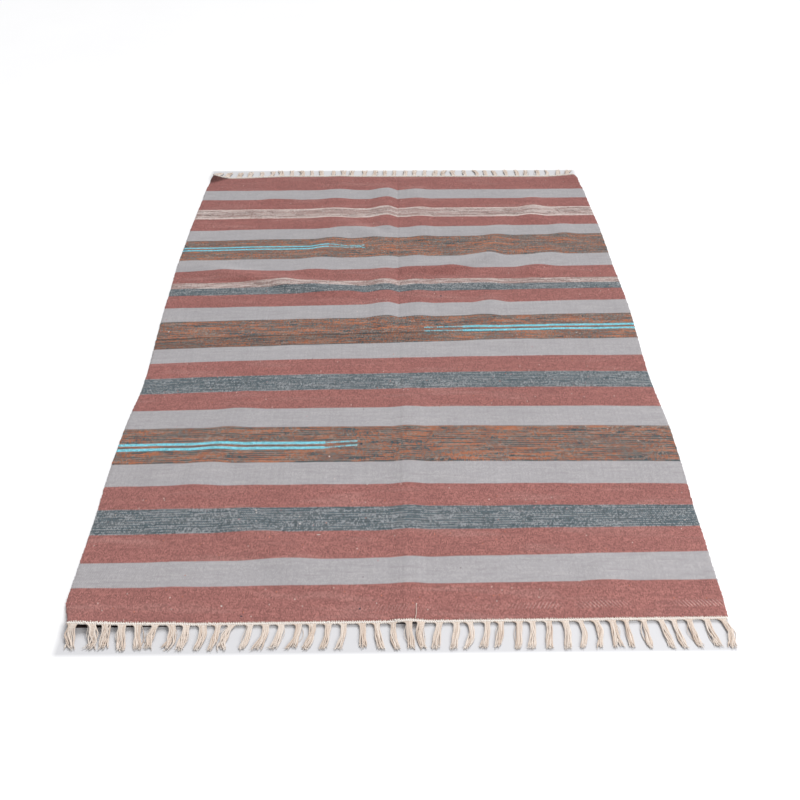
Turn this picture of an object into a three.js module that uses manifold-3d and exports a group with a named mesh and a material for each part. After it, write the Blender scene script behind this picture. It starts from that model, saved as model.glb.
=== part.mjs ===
// A flat-woven striped kilim rug with corded ends and bunched warp fringes, lying on a floor.
// Millimetres, +Z up. X runs across the rug, Y along it, and the floor is z = 0.

import * as THREE from 'three';
import { mergeVertices } from 'three/addons/utils/BufferGeometryUtils.js';
import Module from 'manifold-3d';

const wasm = await Module();
wasm.setup();

// The woven panel: its thickness, and its two ends, which lie a little askew. The far end is drawn in
// towards its left corner, over the last stretch of the cloth.
const PANEL_THICKNESS = 4;
const NEAR_EDGE = { y: -902, skew: 0.007, drawnIn: 0 };
const FAR_EDGE = { y: 905, skew: -0.007, drawnIn: 13 };
const DRAWN_STRETCH = { from: -340, to: -530, depth: 75 };

// The selvedges, drawn in and let out as the weaving went: the left and right edge at each y.
const SELVEDGES = [
  { y: -906, left: -592, right: 603 },
  { y: -845, left: -609, right: 606 },
  { y: -650, left: -608, right: 610 },
  { y: -470, left: -611, right: 617 },
  { y: -380, left: -609, right: 619 },
  { y: -200, left: -599, right: 613 },
  { y: 160, left: -610, right: 624 },
  { y: 340, left: -614, right: 621 },
  { y: 520, left: -612, right: 621 },
  { y: 790, left: -605, right: 613 },
  { y: 885, left: -599, right: 604 },
  { y: 910, left: -590, right: 594 },
];

// Ripples left in the cloth: each crest runs from (x0, y0) to (x1, y1) and rises from rise0 to rise1.
// Its foot reaches that far to either side, times steep on the right of the way it runs.
const RIPPLES = [
  { x0: -20, y0: 580, x1: -20, y1: 800, rise0: 9, rise1: 9, foot: 62, steep: 0.55 },
  { x0: -20, y0: 360, x1: -20, y1: 460, rise0: 4, rise1: 4, foot: 62, steep: 0.55 },
  { x0: -20, y0: 60, x1: -20, y1: 290, rise0: 7, rise1: 7, foot: 62, steep: 0.55 },
  { x0: 90, y0: 500, x1: 70, y1: 800, rise0: 4, rise1: 4, foot: 50, steep: 1 },
  { x0: 64, y0: 90, x1: 62, y1: 420, rise0: 4, rise1: 4, foot: 48, steep: 1 },
  { x0: -195, y0: 600, x1: -175, y1: 860, rise0: 4, rise1: 5, foot: 70, steep: 1 },
  { x0: -200, y0: 440, x1: -150, y1: 580, rise0: 5, rise1: 6, foot: 50, steep: 1 },
  { x0: -150, y0: 580, x1: -60, y1: 520, rise0: 6, rise1: 6, foot: 50, steep: 1 },
  { x0: -230, y0: 320, x1: -190, y1: 440, rise0: 4, rise1: 5, foot: 60, steep: 1 },
  { x0: -380, y0: 745, x1: -330, y1: 765, rise0: 4, rise1: 4, foot: 50, steep: 1 },
  { x0: -570, y0: 335, x1: -480, y1: 302, rise0: 3, rise1: 7, foot: 52, steep: 1 },
  { x0: -480, y0: 302, x1: -400, y1: 276, rise0: 7, rise1: 8, foot: 46, steep: 1 },
  { x0: -400, y0: 276, x1: -305, y1: 248, rise0: 8, rise1: 11, foot: 50, steep: 0.9 },
  { x0: -305, y0: 248, x1: -230, y1: 226, rise0: 11, rise1: 8, foot: 54, steep: 0.9 },
  { x0: -230, y0: 226, x1: -130, y1: 200, rise0: 8, rise1: 7, foot: 54, steep: 1 },
  { x0: 40, y0: 322, x1: 160, y1: 326, rise0: 7, rise1: 9, foot: 54, steep: 0.8 },
  { x0: 160, y0: 326, x1: 272, y1: 392, rise0: 9, rise1: 9, foot: 50, steep: 0.8 },
  { x0: 272, y0: 392, x1: 320, y1: 570, rise0: 9, rise1: 3, foot: 52, steep: 1 },
  { x0: 130, y0: 250, x1: 260, y1: 245, rise0: 4, rise1: 4, foot: 44, steep: 1 },
  { x0: 260, y0: 140, x1: 220, y1: 70, rise0: 8, rise1: 4, foot: 54, steep: 1 },
  { x0: 220, y0: -37, x1: 330, y1: -37, rise0: 3, rise1: 3, foot: 45, steep: 1 },
  { x0: 440, y0: 720, x1: 420, y1: 620, rise0: 7, rise1: 6, foot: 52, steep: 1 },
  { x0: 510, y0: 550, x1: 500, y1: 480, rise0: 5, rise1: 5, foot: 50, steep: 1 },
  { x0: 460, y0: 420, x1: 390, y1: 310, rise0: 5, rise1: 7, foot: 50, steep: 1 },
  { x0: 30, y0: -250, x1: 20, y1: -900, rise0: 3.5, rise1: 4.5, foot: 48, steep: 0.8 },
  { x0: -350, y0: -270, x1: -420, y1: -550, rise0: 4, rise1: 4, foot: 60, steep: 1 },
  { x0: -310, y0: -660, x1: -200, y1: -760, rise0: 4.5, rise1: 4.5, foot: 60, steep: 1 },
  { x0: 385, y0: -780, x1: 400, y1: -860, rise0: 3, rise1: 3, foot: 55, steep: 1 },
  { x0: -560, y0: -905, x1: -420, y1: -900, rise0: 4, rise1: 3, foot: 60, steep: 1 },
];

// Where ripples meet, the higher one carries: the blend is a power mean of this order.
const RIPPLE_BLEND = 3;

// Corners folded up off the floor: how high the tip is, and how far along each side the fold starts.
const LIFTED_CORNERS = [
  { x: -591, y: 905, rise: 14, reachX: 60, reachY: 48 },
  { x: 597, y: 900, rise: 9, reachX: 110, reachY: 100 },
  { x: -593, y: -906, rise: 8, reachX: 140, reachY: 110 },
];
const CORNER_CURL = 1.5;

// The panel's mesh: shares of the width and stretches of the length, with the steps in each.
const COLUMN_STRETCHES = [
  { from: -1, to: -0.88, steps: 4 },
  { from: -0.88, to: -0.13, steps: 14 },
  { from: -0.13, to: 0.05, steps: 6 },
  { from: 0.05, to: 1, steps: 16 },
];
const ROW_STRETCHES = [
  { from: 0, to: 0.46, steps: 14 },
  { from: 0.46, to: 0.965, steps: 31 },
  { from: 0.965, to: 1, steps: 4 },
];

// The end cord, the twined rows of warp that close each end, just clear of the panel.
const CORD_WIDTH = 6;
const CORD_HEIGHT = 5;
const CORD_SIDES = 6;
const CORD_STEPS = 44;
const CORD_INSET = 1;
const PARTING = 0.5;

// One tassel is three flat-lying strands: their spread and width at each share of its length.
// They leave the cord a little above its underside and touch down at a share of their length.
const STRANDS_PER_TASSEL = 3;
const STRAND_SIDES = 3;
const STRAND_HEIGHT = 3.6;
const STRAND_ROOT_RISE = 1;
const STRAND_TOUCHDOWN = 0.68;
const STRAND_STATIONS = [
  { share: 0, spread: 6.5, width: 3.2 },
  { share: 0.34, spread: 3.8, width: 3.2 },
  { share: 0.68, spread: 3.9, width: 3.2 },
  { share: 1, spread: 4.6, width: 2 },
];

// How far a tassel's tip lies to the side of its root, by where the root is.
const NEAR_LEAN = [
  { x: -600, shift: 16 },
  { x: -530, shift: 2 },
  { x: -470, shift: 9 },
  { x: -420, shift: -9 },
  { x: -300, shift: -10 },
  { x: -200, shift: -15 },
  { x: -100, shift: -10 },
  { x: -35, shift: 8 },
  { x: 30, shift: 6 },
  { x: 85, shift: -9 },
  { x: 170, shift: -11 },
  { x: 350, shift: 0 },
  { x: 440, shift: 0 },
  { x: 500, shift: 9 },
  { x: 600, shift: 4 },
];
const FAR_LEAN = [
  { x: -600, shift: 8 },
  { x: -300, shift: -5 },
  { x: 0, shift: 4 },
  { x: 300, shift: -4 },
  { x: 600, shift: 6 },
];

// The two fringes: which way they run, how many tassels, how long they are in the middle and how much
// longer at the right end, where the row starts and ends, and how uneven they are.
const HALF_WIDTH = 600;
const NEAR_FRINGE = {
  name: 'fringe_near', edge: NEAR_EDGE, side: -1, tassels: 42, length: 56, longer: 6,
  first: -577, last: 589, stray: 3.5, uneven: 4, lean: NEAR_LEAN, sway: 2, salt: 1,
};
const FAR_FRINGE = {
  name: 'fringe_far', edge: FAR_EDGE, side: 1, tassels: 35, length: 47, longer: 3,
  first: -575, last: 578, stray: 4, uneven: 3, lean: FAR_LEAN, sway: 4, salt: 2,
};

// A repeatable scatter between -1 and 1 for the unevenness of hand work.
const SCATTER_STEP = 12.9898;
const SCATTER_SALT = 78.233;
const SCATTER_GAIN = 43758.5453;

function scatter(index, salt) {
  const wave = Math.sin(index * SCATTER_STEP + salt * SCATTER_SALT) * SCATTER_GAIN;
  return (wave - Math.floor(wave)) * 2 - 1;
}

// Reads one column of a table at a place between its rows, easing from row to row.
function readTable(rows, key, column, place) {
  const above = rows.findIndex((row) => row[key] >= place);
  if (above === 0) {
    return rows[0][column];
  }
  if (above < 0) {
    return rows[rows.length - 1][column];
  }
  const [low, high] = [rows[above - 1], rows[above]];
  const share = THREE.MathUtils.smoothstep(place, low[key], high[key]);
  return THREE.MathUtils.lerp(low[column], high[column], share);
}

// How much of the drawing-in an end shows at x: none on the right, all of it by the left corner.
function drawnShare(x) {
  return 1 - THREE.MathUtils.smoothstep(x, DRAWN_STRETCH.to, DRAWN_STRETCH.from);
}

function edgeY(edge, x) {
  return edge.y + edge.skew * x - edge.drawnIn * drawnShare(x);
}

// The height of one ripple: a rounded crest with oval ends, zero beyond its foot.
function rippleHeight(ripple, x, y) {
  const run = new THREE.Vector2(ripple.x1 - ripple.x0, ripple.y1 - ripple.y0);
  const length = run.length();
  run.divideScalar(length);
  const along = (x - ripple.x0) * run.x + (y - ripple.y0) * run.y;
  const right = (x - ripple.x0) * run.y - (y - ripple.y0) * run.x;
  const beyond = Math.max(-along, along - length, 0);
  const reach = right > 0 ? ripple.foot * ripple.steep : ripple.foot;
  const square = (beyond / ripple.foot) ** 2 + (right / reach) ** 2;
  if (square >= 1) {
    return 0;
  }
  const share = THREE.MathUtils.clamp(along / length, 0, 1);
  return THREE.MathUtils.lerp(ripple.rise0, ripple.rise1, share) * (1 - square) ** 2;
}

function cornerHeight(corner, x, y) {
  const distance = Math.abs(x - corner.x) / corner.reachX + Math.abs(y - corner.y) / corner.reachY;
  return corner.rise * Math.max(0, 1 - distance) ** CORNER_CURL;
}

// How far the cloth stands off the floor.
function lift(x, y) {
  const ripples = RIPPLES.reduce((sum, ripple) => sum + rippleHeight(ripple, x, y) ** RIPPLE_BLEND, 0);
  const corners = LIFTED_CORNERS.reduce((sum, corner) => sum + cornerHeight(corner, x, y), 0);
  return ripples ** (1 / RIPPLE_BLEND) + corners;
}

function spreadSteps(stretches) {
  const places = [stretches[0].from];
  for (const { from, to, steps } of stretches) {
    for (let step = 1; step <= steps; step += 1) {
      places.push(THREE.MathUtils.lerp(from, to, step / steps));
    }
  }
  return places;
}

// Shared corners only: a bare closed mesh, each of whose points is then moved to its place.
function reshape(geometry, place) {
  geometry.deleteAttribute('normal');
  geometry.deleteAttribute('uv');
  const bare = mergeVertices(geometry);
  const points = bare.getAttribute('position');
  const point = new THREE.Vector3();
  for (let index = 0; index < points.count; index += 1) {
    point.fromBufferAttribute(points, index);
    points.setXYZ(index, ...place(point));
  }
  return bare;
}

function toSolid(geometry) {
  const vertProperties = new Float32Array(geometry.getAttribute('position').array);
  const triVerts = new Uint32Array(geometry.index.array);
  return new wasm.Manifold(new wasm.Mesh({ numProp: 3, vertProperties, triVerts }));
}

function toGeometry(solid) {
  const mesh = solid.getMesh();
  const geometry = new THREE.BufferGeometry();
  geometry.setAttribute('position', new THREE.BufferAttribute(mesh.vertProperties, 3));
  geometry.setIndex(new THREE.BufferAttribute(mesh.triVerts, 1));
  geometry.computeVertexNormals();
  return geometry;
}

// The panel is one sheet: a flat slab of unit cells, laid over the ripples between its selvedges.
function wovenPanel() {
  const columns = spreadSteps(COLUMN_STRETCHES);
  const rows = spreadSteps(ROW_STRETCHES);
  const [across, along] = [columns.length - 1, rows.length - 1];
  const slab = new THREE.BoxGeometry(across, along, 1, across, along, 1);
  const sheet = reshape(slab, (point) => {
    const width = columns[Math.round(point.x + across / 2)];
    const length = rows[Math.round(point.y + along / 2)];
    const y = THREE.MathUtils.lerp(NEAR_EDGE.y, FAR_EDGE.y, length);
    const left = readTable(SELVEDGES, 'y', 'left', y);
    const right = readTable(SELVEDGES, 'y', 'right', y);
    const x = THREE.MathUtils.lerp(left, right, (width + 1) / 2);
    const skew = THREE.MathUtils.lerp(NEAR_EDGE.skew, FAR_EDGE.skew, length);
    const floorGap = lift(x, y);
    const drawn = THREE.MathUtils.smoothstep(y, FAR_EDGE.y - DRAWN_STRETCH.depth, FAR_EDGE.y);
    const laid = y + skew * x - FAR_EDGE.drawnIn * drawn * drawnShare(x);
    return [x, laid, point.z > 0 ? floorGap + PANEL_THICKNESS : floorGap];
  });
  sheet.computeVertexNormals();
  return sheet;
}

// The middle line of a fringe's end cord, which lies along the panel's end.
function cordMiddle(fringe, x) {
  return edgeY(fringe.edge, x) + fringe.side * (PARTING + CORD_WIDTH / 2);
}

function endCord(fringe) {
  const left = readTable(SELVEDGES, 'y', 'left', fringe.edge.y) + CORD_INSET;
  const right = readTable(SELVEDGES, 'y', 'right', fringe.edge.y) - CORD_INSET;
  const turn = Math.PI / CORD_SIDES;
  const rod = new THREE.CylinderGeometry(1, 1, 1, CORD_SIDES, CORD_STEPS, false, turn);
  const flat = Math.cos(turn);
  return reshape(rod, (point) => {
    const x = THREE.MathUtils.lerp(left, right, 0.5 - point.y);
    const y = cordMiddle(fringe, x) + (point.x * CORD_WIDTH) / 2;
    const up = ((point.z / flat + 1) * CORD_HEIGHT) / 2;
    return [x, y, lift(x, fringe.edge.y) + up];
  });
}

// One strand, flat underneath: it leaves the cord, comes down to the floor and lies level on it.
function strand(fringe, tassel, place) {
  const steps = STRAND_STATIONS.length - 1;
  const rod = new THREE.CylinderGeometry(1, 1, 1, STRAND_SIDES, steps);
  const [base, top, reach] = [Math.cos(Math.PI / STRAND_SIDES), 1, Math.sin(Math.PI / STRAND_SIDES)];
  const order = tassel.index * STRANDS_PER_TASSEL + place;
  const usual = fringe.length + (fringe.longer * tassel.x) / HALF_WIDTH;
  const length = usual + fringe.uneven * scatter(order, fringe.salt);
  const rootLift = lift(tassel.x, fringe.edge.y) + STRAND_ROOT_RISE;
  return reshape(rod, (point) => {
    const station = STRAND_STATIONS[Math.round((0.5 + fringe.side * point.y) * steps)];
    const run = (station.share * length) / fringe.length;
    const offset = place * station.spread + (point.x / reach) * (station.width / 2);
    const x = tassel.x + tassel.shift * run ** 2 + offset;
    const y = cordMiddle(fringe, tassel.x + offset) + fringe.side * station.share * length;
    const descent = THREE.MathUtils.smoothstep(station.share, 0, STRAND_TOUCHDOWN);
    const up = ((point.z + base) / (top + base)) * STRAND_HEIGHT;
    return [x, y, THREE.MathUtils.lerp(rootLift, 0, descent) + up];
  });
}

// A whole fringe is one piece: the end cord with every strand's root fused into it.
function fringePiece(fringe) {
  const outermost = (STRANDS_PER_TASSEL - 1) / 2;
  let solid = toSolid(endCord(fringe));
  for (let index = 0; index < fringe.tassels; index += 1) {
    const even = THREE.MathUtils.lerp(fringe.first, fringe.last, index / (fringe.tassels - 1));
    const x = even + fringe.stray * scatter(index, fringe.salt);
    const sway = fringe.sway * scatter(-index, fringe.salt);
    const tassel = { index, x, shift: readTable(fringe.lean, 'x', 'shift', x) + sway };
    for (let place = -outermost; place <= outermost; place += 1) {
      solid = solid.add(toSolid(strand(fringe, tassel, place)));
    }
  }
  return toGeometry(solid);
}

function cloth(color) {
  return new THREE.MeshStandardMaterial({ color, roughness: 0.95, metalness: 0 });
}

function piece(name, geometry, color) {
  const mesh = new THREE.Mesh(geometry, cloth(color));
  mesh.name = name;
  return mesh;
}

const DUSTY_RED = '#a3706b';
const UNDYED_COTTON = '#d6c9ba';

const rug = new THREE.Group();
rug.add(piece('woven_panel', wovenPanel(), DUSTY_RED));
for (const fringe of [NEAR_FRINGE, FAR_FRINGE]) {
  rug.add(piece(fringe.name, fringePiece(fringe), UNDYED_COTTON));
}

export default rug;
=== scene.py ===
"""A striped flat-woven kilim rug with corded ends and cotton fringes, lying on a pale floor."""

import itertools
import math

import bpy
import numpy as np
from mathutils import Euler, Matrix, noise


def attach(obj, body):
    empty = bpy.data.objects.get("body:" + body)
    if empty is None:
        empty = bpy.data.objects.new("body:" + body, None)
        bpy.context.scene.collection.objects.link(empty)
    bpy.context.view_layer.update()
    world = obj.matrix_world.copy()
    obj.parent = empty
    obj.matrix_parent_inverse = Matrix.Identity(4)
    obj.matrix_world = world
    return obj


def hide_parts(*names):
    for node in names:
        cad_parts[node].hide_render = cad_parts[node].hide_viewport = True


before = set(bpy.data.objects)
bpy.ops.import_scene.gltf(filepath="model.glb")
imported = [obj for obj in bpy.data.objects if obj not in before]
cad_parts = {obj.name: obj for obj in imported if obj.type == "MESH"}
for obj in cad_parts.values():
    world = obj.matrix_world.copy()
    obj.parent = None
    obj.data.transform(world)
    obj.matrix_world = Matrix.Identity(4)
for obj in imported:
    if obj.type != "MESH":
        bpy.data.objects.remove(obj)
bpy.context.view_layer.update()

MM = 0.001
random = np.random.default_rng(7)


def table(columns, rows):
    """A small table of sizes as named columns of numbers."""
    return dict(zip(columns.split(), np.array(rows, float).T))


def ease(share):
    share = np.clip(share, 0, 1)
    return share * share * (3 - 2 * share)


def read(data, key, column, place):
    """One column of a table at a place between its rows, eased from row to row."""
    keys, values = data[key], data[column]
    above = np.clip(np.searchsorted(keys, place), 1, len(keys) - 1)
    share = ease((place - keys[above - 1]) / (keys[above] - keys[above - 1]))
    return values[above - 1] + share * (values[above] - values[above - 1])


def scatter(index, salt):
    """The part's own repeatable scatter between -1 and 1."""
    wave = np.sin(np.asarray(index) * 12.9898 + salt * 78.233) * 43758.5453
    return (wave - np.floor(wave)) * 2 - 1


# The rug's shape, in millimetres, as in the part's source.

THICKNESS = 4
NEAR_EDGE = {"y": -902, "skew": 0.007, "drawn_in": 0}
FAR_EDGE = {"y": 905, "skew": -0.007, "drawn_in": 13}
DRAWN_STRETCH = {"from": -340, "to": -530, "depth": 75}

SELVEDGES = table("y left right", [
    (-906, -592, 603),
    (-845, -609, 606),
    (-650, -608, 610),
    (-470, -611, 617),
    (-380, -609, 619),
    (-200, -599, 613),
    (160, -610, 624),
    (340, -614, 621),
    (520, -612, 621),
    (790, -605, 613),
    (885, -599, 604),
    (910, -590, 594),
])

RIPPLE_COLUMNS = "x0 y0 x1 y1 rise0 rise1 foot steep"
RIPPLES = table(RIPPLE_COLUMNS, [
    (-20, 580, -20, 800, 9, 9, 62, 0.55),
    (-20, 360, -20, 460, 4, 4, 62, 0.55),
    (-20, 60, -20, 290, 7, 7, 62, 0.55),
    (90, 500, 70, 800, 4, 4, 50, 1),
    (64, 90, 62, 420, 4, 4, 48, 1),
    (-195, 600, -175, 860, 4, 5, 70, 1),
    (-200, 440, -150, 580, 5, 6, 50, 1),
    (-150, 580, -60, 520, 6, 6, 50, 1),
    (-230, 320, -190, 440, 4, 5, 60, 1),
    (-380, 745, -330, 765, 4, 4, 50, 1),
    (-570, 335, -480, 302, 3, 7, 52, 1),
    (-480, 302, -400, 276, 7, 8, 46, 1),
    (-400, 276, -305, 248, 8, 11, 50, 0.9),
    (-305, 248, -230, 226, 11, 8, 54, 0.9),
    (-230, 226, -130, 200, 8, 7, 54, 1),
    (40, 322, 160, 326, 7, 9, 54, 0.8),
    (160, 326, 272, 392, 9, 9, 50, 0.8),
    (272, 392, 320, 570, 9, 3, 52, 1),
    (130, 250, 260, 245, 4, 4, 44, 1),
    (260, 140, 220, 70, 8, 4, 54, 1),
    (220, -37, 330, -37, 3, 3, 45, 1),
    (440, 720, 420, 620, 7, 6, 52, 1),
    (510, 550, 500, 480, 5, 5, 50, 1),
    (460, 420, 390, 310, 5, 7, 50, 1),
    (30, -250, 20, -900, 3.5, 4.5, 48, 0.8),
    (-350, -270, -420, -550, 4, 4, 60, 1),
    (-310, -660, -200, -760, 4.5, 4.5, 60, 1),
    (385, -780, 400, -860, 3, 3, 55, 1),
    (-560, -905, -420, -900, 4, 3, 60, 1),
])
RIPPLE_BLEND = 3

LIFTED_CORNERS = table("x y rise reach_x reach_y", [
    (-591, 905, 14, 60, 48),
    (597, 900, 9, 110, 100),
    (-593, -906, 8, 140, 110),
])
CORNER_CURL = 1.5
FOLD_SOFTNESS = 0.3

# Creases pressed into the upper face as soft troughs, finer than the solid's own folds.
CREASES = table(RIPPLE_COLUMNS, [
    (13, 890, 12, 0, 1.4, 0.9, 6, 1),
    (12, 0, 10, -890, 0.6, 0.45, 4.5, 1),
    (-444, -755, -434, -820, 1.3, 1.0, 6, 1),
    (-520, 284, -400, 246, 0.5, 0.9, 12, 1),
    (-400, 246, -290, 210, 0.9, 0.5, 12, 1),
    (60, 284, 165, 288, 0.5, 0.7, 11, 1),
    (190, 306, 300, 374, 0.8, 0.5, 11, 1),
    (268, 138, 360, 182, 0.8, 0.3, 11, 1),
    (-215, 500, -180, 590, 0.6, 0.5, 9, 1),
    (480, 520, 470, 440, 0.6, 0.5, 9, 1),
    (300, 120, 262, 55, 0.6, 0.4, 10, 1),
])


def crest(data, row, x, y):
    """The height of one ripple or crease: a rounded crest with oval ends, zero beyond its foot."""
    x0, y0, x1, y1, rise0, rise1, foot, steep = (data[name][row] for name in RIPPLE_COLUMNS.split())
    length = math.hypot(x1 - x0, y1 - y0)
    run_x, run_y = (x1 - x0) / length, (y1 - y0) / length
    along = (x - x0) * run_x + (y - y0) * run_y
    right = (x - x0) * run_y - (y - y0) * run_x
    beyond = np.maximum(np.maximum(-along, along - length), 0)
    reach = np.where(right > 0, foot * steep, foot)
    square = np.minimum((beyond / foot) ** 2 + (right / reach) ** 2, 1)
    rise = rise0 + (rise1 - rise0) * np.clip(along / length, 0, 1)
    return rise * (1 - square) ** 2


def lift(x, y):
    """How far the cloth stands off the floor."""
    x, y = np.asarray(x, float), np.asarray(y, float)
    ripples = sum(crest(RIPPLES, row, x, y) ** RIPPLE_BLEND for row in range(len(RIPPLES["x0"])))
    rows = range(len(LIFTED_CORNERS["x"]))
    corners = sum(LIFTED_CORNERS["rise"][row] * in_corner(row, x, y) ** CORNER_CURL for row in rows)
    return np.cbrt(ripples) + corners


def in_corner(row, x, y):
    """How far into a lifted corner a point is: none at the fold, one at the tip."""
    corner = {name: values[row] for name, values in LIFTED_CORNERS.items()}
    away = np.abs(x - corner["x"]) / corner["reach_x"] + np.abs(y - corner["y"]) / corner["reach_y"]
    return np.maximum(0, 1 - away)


def painted_fold_shade(x, y):
    """How much painted shade the folded far left corner gets, growing from its fold towards its tip."""
    return ease(in_corner(0, x, y) / FOLD_SOFTNESS)


def leftward(stretch, x):
    """How far a place is along a stretch that runs to the left: none before it, all past it."""
    return ease((stretch["from"] - x) / (stretch["from"] - stretch["to"]))


def edge_y(edge, x):
    return edge["y"] + edge["skew"] * x - edge["drawn_in"] * leftward(DRAWN_STRETCH, x)


# Soft waves in the height of the upper face, and in where the picks run.
WAVE_COLUMNS = "size wave_x wave_y seed"
UNEVEN_FACE = table(WAVE_COLUMNS, [(0.45, 45, 60, 3.1), (0.25, 17, 24, 8.4)])
WANDERING_PICKS = table(WAVE_COLUMNS, [(1.6, 120, 200, 5.7), (0.8, 45, 90, 2.2)])


def soft_waves(data, x, y):
    """Soft unevenness, added up from the rows of a table of waves."""
    total = np.zeros(np.shape(x))
    for size, wave_x, wave_y, seed in zip(*data.values()):
        points = np.stack([np.ravel(x) / wave_x, np.ravel(y) / wave_y, np.full(np.size(x), seed)], axis=1)
        total += size * np.array([noise.noise(point) for point in points]).reshape(np.shape(x))
    return total


def creases(x, y):
    return sum(crest(CREASES, row, x, y) for row in range(len(CREASES["x0"])))


def surface(x, y):
    """The height of the cloth's upper face, with its creases and its fine unevenness."""
    return lift(x, y) + THICKNESS + soft_waves(UNEVEN_FACE, x, y) - creases(x, y)


# The weave: stripes from the near end to the far end, and how the picks run askew.

STRIPES = (
    ("red", 85), ("grey", 66), ("red", 72), ("blue", 66), ("red", 65), ("grey", 68),
    ("slate", 3), ("brown", 114), ("slate", 3), ("grey", 67), ("red", 68), ("blue", 61),
    ("red", 62), ("grey", 64), ("slate", 3), ("brown", 109), ("slate", 3), ("grey", 63),
    ("red", 61), ("blue", 34), ("cream", 25), ("red", 61), ("grey", 65),
    ("slate", 3), ("brown", 108), ("slate", 3), ("grey", 61), ("red", 63),
    ("pale", 7), ("cream", 46), ("pale", 7), ("red", 63), ("grey", 61), ("red", 97),
)

# The skew is in millimetres to a metre of width, and the bow in millimetres at the selvedges.
PICK_SKEW = table("y skew", [
    (-902, 7), (-815, 4), (-747, 13), (-547, -4), (-357, -1), (-220, 15), (-110, 20), (-37, 36),
    (85, 28), (200, 31), (240, 23), (300, 26), (391, 33), (509, 36), (571, 33), (629, 19),
    (691, 19), (751, 15), (815, 12), (905, -7),
])

PICK_BOW = table("y bow", [(-760, 0), (-560, 4), (-350, 6), (-180, 9), (0, 5), (150, 0)])
HALF_WIDTH = 612
WARP_PITCH = 2.1
PICK_PITCH = 1.6


def weave_place(x, y, share):
    """Where a point lies in the cloth itself, in metres: across its warps, and along its picks."""
    skew = read(PICK_SKEW, "y", "skew", y) / 1000
    bow = read(PICK_BOW, "y", "bow", y) * np.abs(share) ** 3
    wander = soft_waves(WANDERING_PICKS, x, y)
    return np.stack([share * HALF_WIDTH * MM, (y - skew * x + bow + wander) * MM], axis=-1)


# Meshes.


class Shapes:
    """Gathers many small shapes into one mesh, with a map for its faces and a tone for each point, which on
    the woven pieces is the painted shade of the folded corner.
    """

    def __init__(self):
        self.points, self.tones, self.faces, self.maps = [], [], [], []
        self.count = 0

    def add(self, points, faces, maps, tones):
        """points in millimetres; faces as arrays of equal-sized faces; maps as two values a corner."""
        self.points.append(points)
        self.tones.append(tones)
        self.faces += [part + self.count for part in faces]
        self.maps += maps
        self.count += len(points)

    def build(self, name, material, map_name):
        mesh = bpy.data.meshes.new(name)
        points = np.concatenate(self.points) * MM
        corners = np.concatenate([part.ravel() for part in self.faces])
        sizes = np.concatenate([np.full(len(part), part.shape[1]) for part in self.faces])
        mesh.vertices.add(len(points))
        mesh.vertices.foreach_set("co", points.ravel())
        mesh.loops.add(len(corners))
        mesh.loops.foreach_set("vertex_index", corners)
        mesh.polygons.add(len(sizes))
        mesh.polygons.foreach_set("loop_start", np.concatenate([[0], np.cumsum(sizes)[:-1]]))
        mesh.update(calc_edges=True)
        layer = mesh.uv_layers.new(name=map_name)
        layer.uv.foreach_set("vector", np.concatenate([part.reshape(-1, 2) for part in self.maps]).ravel())
        tone = mesh.attributes.new("tone", "FLOAT", "POINT")
        tone.data.foreach_set("value", np.concatenate(self.tones))
        mesh.shade_smooth()
        mesh.materials.append(material)
        piece = bpy.data.objects.new(name, mesh)
        bpy.context.scene.collection.objects.link(piece)
        return piece


def ball():
    """A small round form of twenty-four four-sided faces: a cube, halved each way and rounded."""
    square = np.array([(0, 0), (1, 0), (1, 1), (0, 1)])
    points, faces = {}, []
    for axis, end, low_a, low_b in itertools.product(range(3), (-1, 1), (-1, 0), (-1, 0)):
        face = []
        for first, second in (square + (low_a, low_b))[::end]:
            place = tuple(np.roll((end, first, second), axis))
            face.append(points.setdefault(place, len(points)))
        faces.append(face)
    points = np.array(list(points), float)
    return points / np.linalg.norm(points, axis=1, keepdims=True), np.array(faces)


BALL_POINTS, BALL_FACES = ball()


def add_balls(shapes, centres, radii, maps, tones, turn=0.0):
    """Small rounded beads, each with its own three radii, turned about the upright axis."""
    count, size = len(centres), len(BALL_POINTS)
    forms = BALL_POINTS[None] * radii[:, None]
    turn = np.broadcast_to(turn, count)[:, None]
    turned = np.stack([
        forms[..., 0] * np.cos(turn) - forms[..., 1] * np.sin(turn),
        forms[..., 0] * np.sin(turn) + forms[..., 1] * np.cos(turn),
        forms[..., 2],
    ], axis=-1)
    points = (turned + centres[:, None]).reshape(-1, 3)
    faces = (BALL_FACES[None] + size * np.arange(count)[:, None, None]).reshape(-1, 4)
    corners = np.broadcast_to(maps[:, None, None], (count, len(BALL_FACES), 4, 2))
    shapes.add(points, [faces], [corners.reshape(-1, 4, 2)], np.repeat(tones, size))


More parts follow.
